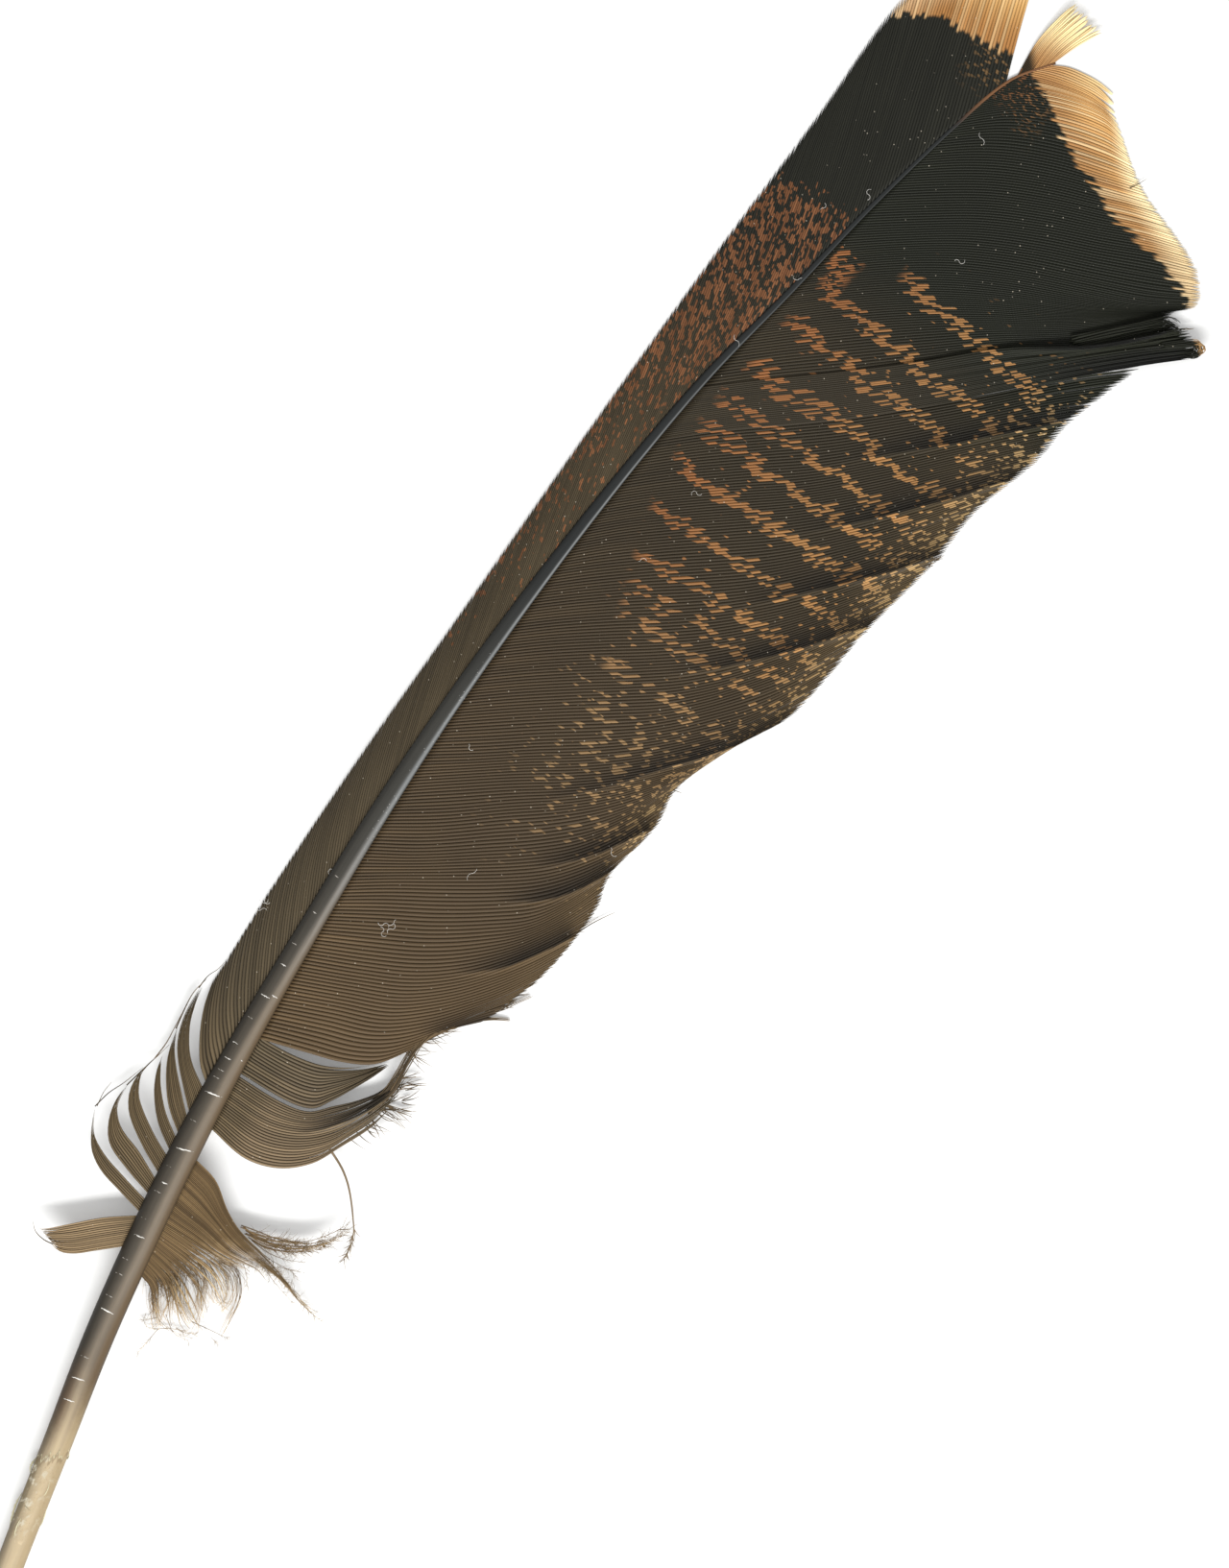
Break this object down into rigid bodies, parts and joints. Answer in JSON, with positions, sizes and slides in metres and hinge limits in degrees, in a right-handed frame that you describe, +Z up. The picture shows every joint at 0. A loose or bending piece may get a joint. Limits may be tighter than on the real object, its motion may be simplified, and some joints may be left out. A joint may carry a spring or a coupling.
{
  "type": "turkey wing feather",
  "caption": "Shed flight feather with a dark tapering quill, one broad and one narrow barred brown vane, a black band, a buff tip and down at the foot.",
  "frame": {"origin": "centre of the bounding box at the level the feather lies on", "axes": "+Y from the quill's foot towards the feather's tip, +X towards the broad vane, +Z up out of the feather's upper side"},
  "size_m": [0.0886, 0.35, 0.0061],
  "materials": {
    "quill": "hard smooth dark horn with a soft shine, cream and translucent at the foot",
    "brown_barbs": "fine parallel barbs, dark brown with rust and buff bars, soft sheen",
    "black_barbs": "fine parallel barbs, brown-black with a buff outer edge",
    "buff_barbs": "fine parallel barbs, pale buff",
    "down": "loose matt downy barbs, greyish tan paling to cream"
  },
  "bodies": {
    "root": {"shaft": "quill", "wide_vane": "brown_barbs", "turned_tuft": "black_barbs", "fan_vane": "black_barbs", "tip_tuft": "buff_barbs", "narrow_vane": "brown_barbs", "narrow_lock_1": "brown_barbs", "narrow_lock_2": "brown_barbs", "narrow_lock_3": "brown_barbs", "narrow_lock_4": "brown_barbs", "narrow_lock_5": "brown_barbs", "narrow_lock_6": "brown_barbs", "bent_lock": "brown_barbs", "wide_lock_upper": "brown_barbs", "wide_flap": "brown_barbs", "stray_barb": "brown_barbs", "downy_lock": "down", "downy_branch": "down", "down_tuft": "down"}
  },
  "joints": []
}
